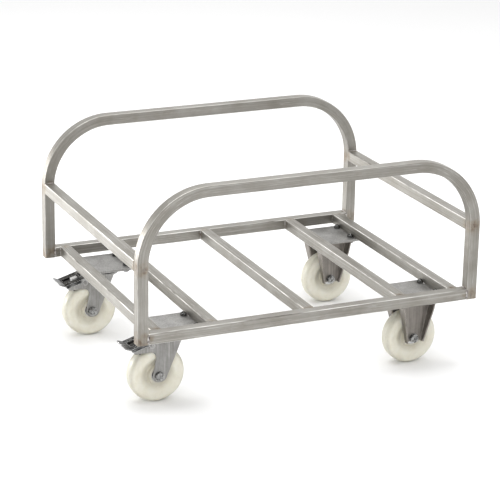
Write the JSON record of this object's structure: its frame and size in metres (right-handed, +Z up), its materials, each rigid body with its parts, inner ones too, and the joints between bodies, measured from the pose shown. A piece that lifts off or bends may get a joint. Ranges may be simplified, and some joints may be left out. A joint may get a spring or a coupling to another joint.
{
  "type": "drum dolly",
  "caption": "Stainless drum dolly: open square-tube deck, two bent side arches, end bars, two braked swivel casters and two fixed casters with nylon wheels.",
  "frame": {"origin": "on the floor under the middle of the whole dolly, brake pedals included", "axes": "+X along the length towards the fixed casters, +Y across towards the rear arch, +Z up"},
  "size_m": [0.831, 0.645, 0.515],
  "materials": {
    "brushed_stainless": "brushed lengthwise, heat tint at the welds",
    "stainless_caster": "pressed sheet, matte",
    "plated_pedal": "bright plated sheet",
    "fastener_steel": "turned and cold formed",
    "bearing_steel": "ground bright",
    "nylon": "moulded nylon, slightly translucent",
    "seal_rubber": "moulded",
    "shoe_rubber": "moulded",
    "black_plastic": "moulded"
  },
  "bodies": {
    "frame": {"fixed_caster_axle_bolts": "fastener_steel", "fixed_caster_axle_nuts": "fastener_steel", "fixed_caster_axle_spacers": "fastener_steel", "fixed_caster_bearing_inner_rings": "bearing_steel", "front_left_mounting_plate": "brushed_stainless", "front_left_top_plate": "stainless_caster", "front_right_bracket": "stainless_caster", "front_right_mounting_plate": "brushed_stainless", "front_side_arch": "brushed_stainless", "front_side_rail": "brushed_stainless", "kingpin_nuts": "fastener_steel", "kingpins": "fastener_steel", "left_end_bar": "brushed_stainless", "left_inner_crossbar": "brushed_stainless", "left_outer_crossbar": "brushed_stainless", "lower_races": "stainless_caster", "middle_crossbar": "brushed_stainless", "mounting_bolts": "fastener_steel", "mounting_nuts": "fastener_steel", "post_end_caps": "black_plastic", "rear_left_mounting_plate": "brushed_stainless", "rear_left_top_plate": "stainless_caster", "rear_right_bracket": "stainless_caster", "rear_right_mounting_plate": "brushed_stainless", "rear_side_arch": "brushed_stainless", "rear_side_rail": "brushed_stainless", "right_end_bar": "brushed_stainless", "right_inner_crossbar": "brushed_stainless", "right_outer_crossbar": "brushed_stainless"},
    "front_left_fork": {"front_left_axle_bolt": "fastener_steel", "front_left_axle_nut": "fastener_steel", "front_left_axle_spacers": "fastener_steel", "front_left_bearing_inner_rings": "bearing_steel", "front_left_dust_seal": "seal_rubber", "front_left_fork": "stainless_caster", "front_left_pedal_pin": "fastener_steel", "front_left_pedal_spring": "bearing_steel", "front_left_swivel_balls": "bearing_steel"},
    "front_left_pedal": {"front_left_brake_pedal": "plated_pedal", "front_left_brake_shoe": "shoe_rubber"},
    "rear_left_fork": {"rear_left_axle_bolt": "fastener_steel", "rear_left_axle_nut": "fastener_steel", "rear_left_axle_spacers": "fastener_steel", "rear_left_bearing_inner_rings": "bearing_steel", "rear_left_dust_seal": "seal_rubber", "rear_left_fork": "stainless_caster", "rear_left_pedal_pin": "fastener_steel", "rear_left_pedal_spring": "bearing_steel", "rear_left_swivel_balls": "bearing_steel"},
    "rear_left_pedal": {"rear_left_brake_pedal": "plated_pedal", "rear_left_brake_shoe": "shoe_rubber"},
    "front_left_wheel": {"front_left_wheel": "nylon", "front_left_wheel_bearings": "bearing_steel"},
    "front_right_wheel": {"front_right_wheel": "nylon", "front_right_wheel_bearings": "bearing_steel"},
    "rear_left_wheel": {"rear_left_wheel": "nylon", "rear_left_wheel_bearings": "bearing_steel"},
    "rear_right_wheel": {"rear_right_wheel": "nylon", "rear_right_wheel_bearings": "bearing_steel"}
  },
  "joints": [
    {"name": "front_left_swivel", "type": "hinge", "parent": "frame", "child": "front_left_fork", "pos_m": [-0.2985, -0.2195, 0.16], "axis": [0, 0, 1], "continuous": true},
    {"name": "front_left_wheel_spin", "type": "hinge", "parent": "front_left_fork", "child": "front_left_wheel", "pos_m": [-0.3345, -0.2195, 0.065], "axis": [0, 1, 0], "continuous": true},
    {"name": "front_left_brake_pedal_hinge", "type": "hinge", "parent": "front_left_fork", "child": "front_left_pedal", "pos_m": [-0.3515, -0.2195, 0.139], "axis": [0, 1, 0], "range_deg": [0, 12]},
    {"name": "front_right_wheel_spin", "type": "hinge", "parent": "frame", "child": "front_right_wheel", "pos_m": [0.2995, -0.2195, 0.065], "axis": [0, 1, 0], "continuous": true},
    {"name": "rear_left_swivel", "type": "hinge", "parent": "frame", "child": "rear_left_fork", "pos_m": [-0.2985, 0.2195, 0.16], "axis": [0, 0, 1], "continuous": true},
    {"name": "rear_left_wheel_spin", "type": "hinge", "parent": "rear_left_fork", "child": "rear_left_wheel", "pos_m": [-0.3345, 0.2195, 0.065], "axis": [0, 1, 0], "continuous": true},
    {"name": "rear_left_brake_pedal_hinge", "type": "hinge", "parent": "rear_left_fork", "child": "rear_left_pedal", "pos_m": [-0.3515, 0.2195, 0.139], "axis": [0, 1, 0], "range_deg": [0, 12]},
    {"name": "rear_right_wheel_spin", "type": "hinge", "parent": "frame", "child": "rear_right_wheel", "pos_m": [0.2995, 0.2195, 0.065], "axis": [0, 1, 0], "continuous": true}
  ]
}
